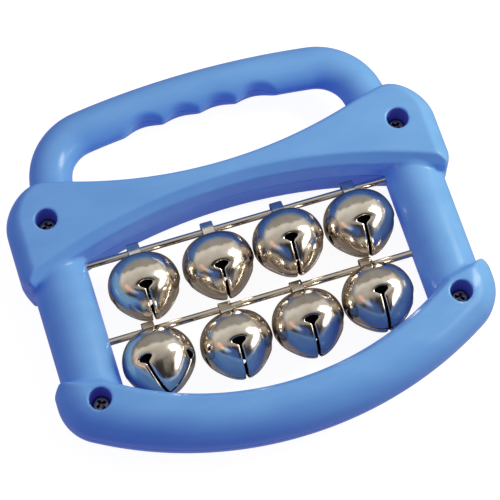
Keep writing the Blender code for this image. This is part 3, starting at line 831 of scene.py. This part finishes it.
def map_range(nodes, links, source, span, target=(0.0, 1.0)):
    """The source, stretched so that span lands on target."""
    spread = nodes.new("ShaderNodeMapRange")
    spread.inputs["From Min"].default_value = span[0]
    spread.inputs["From Max"].default_value = span[1]
    spread.inputs["To Min"].default_value = target[0]
    spread.inputs["To Max"].default_value = target[1]
    links.new(source, spread.inputs["Value"])
    return spread.outputs["Result"]


def vary_colour(material, shader, source, stops):
    nodes, links = material.node_tree.nodes, material.node_tree.links
    colours = colour_ramp(nodes, stops)
    links.new(source, colours.inputs["Fac"])
    links.new(colours.outputs["Color"], shader.inputs["Base Color"])


def vary_roughness(material, shader, source, low, high):
    nodes, links = material.node_tree.nodes, material.node_tree.links
    links.new(map_range(nodes, links, source, NOISE_SPAN, (low, high)), shader.inputs["Roughness"])


def add_bump(material, shader, source, strength, distance):
    nodes, links = material.node_tree.nodes, material.node_tree.links
    bump = nodes.new("ShaderNodeBump")
    bump.inputs["Strength"].default_value = strength
    bump.inputs["Distance"].default_value = distance
    links.new(source, bump.inputs["Height"])
    links.new(bump.outputs["Normal"], shader.inputs["Normal"])


def glow(shader, colour, strength):
    shader.inputs["Emission Color"].default_value = (*colour, 1)
    shader.inputs["Emission Strength"].default_value = strength


def blue_plastic():
    """Glossy moulded plastic with a painted blue glow that lifts its shaded sides: faint flow clouding, uneven
    gloss and a fine skin.
    """
    material, shader = new_material("blue_plastic", PLASTIC, metallic=0.0, roughness=0.2)
    shader.inputs["IOR"].default_value = PLASTIC_IOR
    # Painted glow: blue emission standing in for light in the plastic's shade
    glow(shader, PLASTIC_PAINTED_GLOW, strength=0.26)
    clouding = noise(material, waves=55, detail=4, stretch=(1.0, 2.5, 1.0))
    vary_colour(material, shader, clouding, PLASTIC_CLOUDS)
    vary_roughness(material, shader, noise(material, waves=420, detail=6), low=0.16, high=0.26)
    add_bump(material, shader, noise(material, waves=1300, detail=2), strength=0.16, distance=0.00004)
    return material


def bore_shade_plastic():
    """The same plastic down the counterbores, left dull, with a darker colour and weaker glow painted in as
    the shade down the bores.
    """
    material, shader = new_material("bore_shade_plastic", BORE_PAINTED_SHADE, metallic=0.0, roughness=0.45)
    glow(shader, BORE_SHADE_GLOW, strength=0.22)
    clouding = noise(material, waves=200, detail=4)
    vary_colour(material, shader, clouding, BORE_SHADE_CLOUDS)
    vary_roughness(material, shader, noise(material, waves=900, detail=6), low=0.38, high=0.52)
    add_bump(material, shader, noise(material, waves=1300, detail=2), strength=0.2, distance=0.00004)
    return material


def nickel(name, stretch, low, high, wave):
    """Warm nickel plate, tarnished and wiped: roughness from low to high, and waves of that height."""
    material, shader = new_material(name, NICKEL, metallic=1.0, roughness=low)
    shader.inputs["Specular Tint"].default_value = (*NICKEL_RIM, 1)
    tarnish = noise(material, waves=150, detail=5, stretch=stretch)
    vary_colour(material, shader, tarnish, NICKEL_TARNISH)
    wiping = noise(material, waves=600, detail=7, stretch=stretch)
    vary_roughness(material, shader, wiping, low, high)
    unevenness = noise(material, waves=170, detail=2, stretch=stretch)
    add_bump(material, shader, unevenness, strength=0.25, distance=wave)
    return material


def steel(name, colour, stretch=(1, 1, 1)):
    """Bare or plated steel with fine scratches."""
    material, shader = new_material(name, colour, metallic=1.0, roughness=0.3)
    darker = tuple(c * STEEL_DARKENING for c in colour)
    stops = list(zip(STEEL_STOPS, (darker, colour)))
    vary_colour(material, shader, noise(material, waves=700, detail=5), stops)
    scratches = noise(material, waves=1500, detail=6, stretch=stretch)
    vary_roughness(material, shader, scratches, low=0.22, high=0.42)
    finer = noise(material, waves=2400, detail=4, stretch=stretch)
    add_bump(material, shader, finer, strength=0.3, distance=0.00003)
    return material


def floor_material():
    """A plain white sweep that glows, so that shadows on it stay faint."""
    material, shader = new_material("white_sweep", FLOOR_COLOUR, metallic=0.0, roughness=0.9)
    shader.inputs["Specular IOR Level"].default_value = 0.0
    glow(shader, (1, 1, 1), strength=FLOOR_GLOW)
    return material


# ---------------------------------------------------------------- the object


def screw_places():
    """Each screw's X, Y and seat height in mm."""
    places = {}
    for name in RECESS_TURN:
        low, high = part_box(name)
        middle = (low + high) / 2 / MM
        places[name] = (middle.x, middle.y, high.z / MM - HEAD_HEIGHT)
    return places


def rod_places():
    """Each rod's Y and half length in mm."""
    places = {}
    for name in ("upper_rod", "lower_rod"):
        low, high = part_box(name)
        places[name] = ((low.y + high.y) / 2 / MM, high.x / MM)
    return places


def joint_places():
    """Where each joint's axis is, in metres, by joint name."""
    return {joint["name"]: Vector(joint["pos_m"]) for joint in frame["joints"]}


def mark_bore_shade(mesh):
    """Gives the faces inside the counterbores the second material, which paints shade into them."""
    centres = np.empty(len(mesh.polygons) * 3)
    mesh.polygons.foreach_get("center", centres)
    centres = centres.reshape(-1, 3) / MM
    inside = np.zeros(len(centres), bool)
    # Painted shade mask: the faces within each counterbore
    for sx, sy, seat in SCREWS.values():
        near = np.hypot(centres[:, 0] - sx, centres[:, 1] - sy) < COUNTERBORE_RADIUS + BORE_SHADE_MARGIN
        inside |= near & (centres[:, 2] > seat - BORE_SHADE_MARGIN) & (centres[:, 2] < THICKNESS - BORE_ROUND)
    mesh.polygons.foreach_set("material_index", inside.astype(np.int32))


def build_shells(plastic, bore_shade_finish):
    finishes = [plastic, bore_shade_finish]
    for name, front in (("front_shell", True), ("rear_shell", False)):
        mesh = shell_mesh(f"{name}_moulding", front)
        if front:
            mark_bore_shade(mesh)
        add_piece(f"{name}_moulding", mesh, finishes, "frame", name, sharp=50)


def build_rods(material):
    for name, (_, reach) in RODS.items():
        low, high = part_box(name)
        radius = (high.z - low.z) / 2 / MM
        mesh = placed(turned_bar(name, reach, radius), Matrix.Translation((low + high) / 2))
        add_piece(f"{name}_bar", mesh, [material], "frame", name, sharp=40)


def build_screws(material):
    reach = HEAD_RADIUS + SCREW_MARGIN
    low = (-reach, -reach, -SHANK_LENGTH - SCREW_MARGIN)
    high = (reach, reach, HEAD_HEIGHT + SCREW_MARGIN)
    mesh = solid_mesh("pan_head_screw", screw_field, low, high, SCREW_CELL)
    for name, (x, y, seat) in SCREWS.items():
        turn = Matrix.Rotation(math.radians(RECESS_TURN[name]), 4, "Z")
        screw = placed(mesh, Matrix.Translation(Vector((x, y, seat)) * MM) @ turn)
        add_piece(f"{name}_pan_head", screw, [material], "frame", name, sharp=40)


def bell_mesh(spin):
    """A bell about its own centre, its faces inside the wall given the second material, a near-black painted
    shade for the hollow.
    """
    reach = BELL_RADIUS + BELL_MARGIN
    name = f"bell_turned_{abs(spin):.0f}"
    mesh = solid_mesh(name, bell_field(spin), (-reach,) * 3, (reach,) * 3, BELL_CELL)
    for face in mesh.polygons:
        centre = face.center / MM
        up = math.atan2(centre.z, math.hypot(centre.x, centre.y))
        deep = float(bell_reach(up)) - centre.length
        inward = face.normal.dot(centre.normalized()) < BELL_INWARD_LIMIT
        face.material_index = int(deep > BELL_WALL / 2 and inward)
    return mesh


def pellet_mesh():
    low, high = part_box("bell_1_pellet")
    radius = (high.x - low.x) / 2 / MM
    reach = radius + PELLET_MARGIN
    return solid_mesh("pellet", pellet_field(radius), (-reach,) * 3, (reach,) * 3, PELLET_CELL)


def build_bells(bell_finish, inner_shade_finish, strap_finish, pellet_finish):
    places = joint_places()
    bells = {spin: bell_mesh(spin) for spin in (0.0, *SPIN.values())}
    strap = strap_mesh("loop_strap")
    pellet = pellet_mesh()
    for i in range(BELL_COUNT):
        name = f"bell_{i + 1}"
        body, pellet_body = f"{name}_body", f"{name}_pellet_body"
        pivot, centre = places[f"{name}_swing"], places[f"{name}_pellet_roll"]
        up = (pivot - centre).normalized()
        across = Vector((1, 0, 0))
        turn = Matrix((across, up.cross(across), up)).transposed().to_4x4()
        slack = (pivot - centre).length - BELL_HANG * MM
        bell = placed(bells[SPIN.get(name, 0.0)], Matrix.Translation(centre) @ turn)
        add_piece(f"{name}_dome", bell, [bell_finish, inner_shade_finish], body, name)
        loop = placed(strap, Matrix.Translation(pivot - up * slack) @ turn)
        add_piece(f"{name}_strap", loop, [strap_finish], body, f"{name}_loop", sharp=35)
        low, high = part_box(f"{name}_pellet")
        roll = Euler(PELLET_ROLL * i).to_matrix().to_4x4()
        ball = placed(pellet, Matrix.Translation((low + high) / 2) @ roll)
        add_piece(f"{name}_shot", ball, [pellet_finish], pellet_body, f"{name}_pellet")


# ---------------------------------------------------------------- studio


def build_floor():
    """A plain floor just under the object, left out of reflections so that it doesn't whiten them."""
    half = FLOOR_SIZE / 2
    bm = bmesh.new()
    bm.faces.new([bm.verts.new((half * x, half * y, 0)) for x, y in ((-1, -1), (1, -1), (1, 1), (-1, 1))])
    mesh = finished(bm, "floor")
    mesh.materials.append(floor_material())
    floor = bpy.data.objects.new("floor", mesh)
    floor.location.z = -FLOOR_DROP
    floor.visible_glossy = False
    floor.visible_diffuse = False
    bpy.context.scene.collection.objects.link(floor)


def build_world():
    """A soft studio: a pale ceiling behind, a dim room in front and a dark surface all round below."""
    world = bpy.data.worlds.new("studio")
    bpy.context.scene.world = world
    world.use_nodes = True
    nodes, links = world.node_tree.nodes, world.node_tree.links
    background = nodes["Background"]
    place = nodes.new("ShaderNodeTexCoord")
    split = nodes.new("ShaderNodeSeparateXYZ")
    links.new(place.outputs["Generated"], split.inputs["Vector"])
    cloud = nodes.new("ShaderNodeTexNoise")
    cloud.inputs["Scale"].default_value = CEILING_WAVES
    cloud.inputs["Detail"].default_value = CEILING_DETAIL
    links.new(place.outputs["Generated"], cloud.inputs["Vector"])
    wave = map_range(nodes, links, cloud.outputs["Fac"], NOISE_SPAN, (-CEILING_WARP, CEILING_WARP))
    depth = nodes.new("ShaderNodeMath")
    links.new(split.outputs["Y"], depth.inputs[0])
    links.new(wave, depth.inputs[1])
    ceiling = colour_ramp(nodes, CEILING_STOPS)
    links.new(map_range(nodes, links, depth.outputs["Value"], CEILING_SPAN), ceiling.inputs["Fac"])
    height = nodes.new("ShaderNodeMath")
    links.new(split.outputs["Z"], height.inputs[0])
    links.new(wave, height.inputs[1])
    below = colour_ramp(nodes, BELOW_STOPS)
    links.new(map_range(nodes, links, height.outputs["Value"], BELOW_SPAN), below.inputs["Fac"])
    mix = nodes.new("ShaderNodeMix")
    mix.data_type = "RGBA"
    links.new(map_range(nodes, links, split.outputs["Z"], HORIZON, (1.0, 0.0)), mix.inputs["Factor"])
    links.new(ceiling.outputs["Color"], mix.inputs["A"])
    links.new(below.outputs["Color"], mix.inputs["B"])
    links.new(mix.outputs["Result"], background.inputs["Color"])


def add_light(name, direction, size, radiance, colour):
    """An elliptical light facing the object from that direction; the radiance is how bright it looks."""
    light = bpy.data.lights.new(name, "AREA")
    light.shape = "ELLIPSE"
    light.size, light.size_y = size
    area = math.pi / 4 * size[0] * size[1]
    light.energy = radiance * math.pi * area
    light.color = colour
    lamp = bpy.data.objects.new(name, light)
    lamp.location = Vector(direction).normalized() * LIGHT_DISTANCE
    lamp.rotation_mode = "QUATERNION"
    lamp.rotation_quaternion = Vector(direction).to_track_quat("Z", "Y")
    bpy.context.scene.collection.objects.link(lamp)


def build_camera():
    data = bpy.data.cameras.new("camera")
    data.lens = CAMERA_LENS
    data.sensor_width = CAMERA_SENSOR
    camera = bpy.data.objects.new("camera", data)
    camera.location = CAMERA_TARGET + CAMERA_OFFSET
    camera.rotation_mode = "QUATERNION"
    camera.rotation_quaternion = CAMERA_OFFSET.to_track_quat("Z", "Y")
    bpy.context.scene.collection.objects.link(camera)
    bpy.context.scene.camera = camera


SCREWS = screw_places()
RODS = rod_places()
PLANS = {
    "upper": Plan(upper_outline()),
    "lower_outside": Plan(lower_outside_outline()),
    "lower_inside": Plan(lower_inside_outline()),
    "handle": Plan(handle_outline()),
}

build_camera()
build_floor()
build_world()
for light_values in LIGHTS:
    add_light(*light_values)
bpy.context.scene.view_settings.view_transform = "Standard"

build_shells(blue_plastic(), bore_shade_plastic())
build_rods(nickel("rod_nickel", stretch=(0.05, 1, 1), low=0.08, high=0.18, wave=0.00002))
# Screw heads in a dark bluish colour: painted shade and blue reflection from the bores
build_screws(steel("screw_steel", SCREW_SHADED_STEEL))
build_bells(
    nickel("bell_nickel", stretch=(1, 0.3, 1), low=0.11, high=0.23, wave=0.00011),
    # Painted shade: a near-black finish on the bells' inner faces
    steel("bell_inside", BELL_INSIDE_SHADE),
    nickel("strap_nickel", stretch=(1, 1, 1), low=0.10, high=0.22, wave=0.00003),
    steel("pellet_steel", PELLET_STEEL, stretch=(1, 1, 0.2)),
)

bpy.context.view_layer.update()
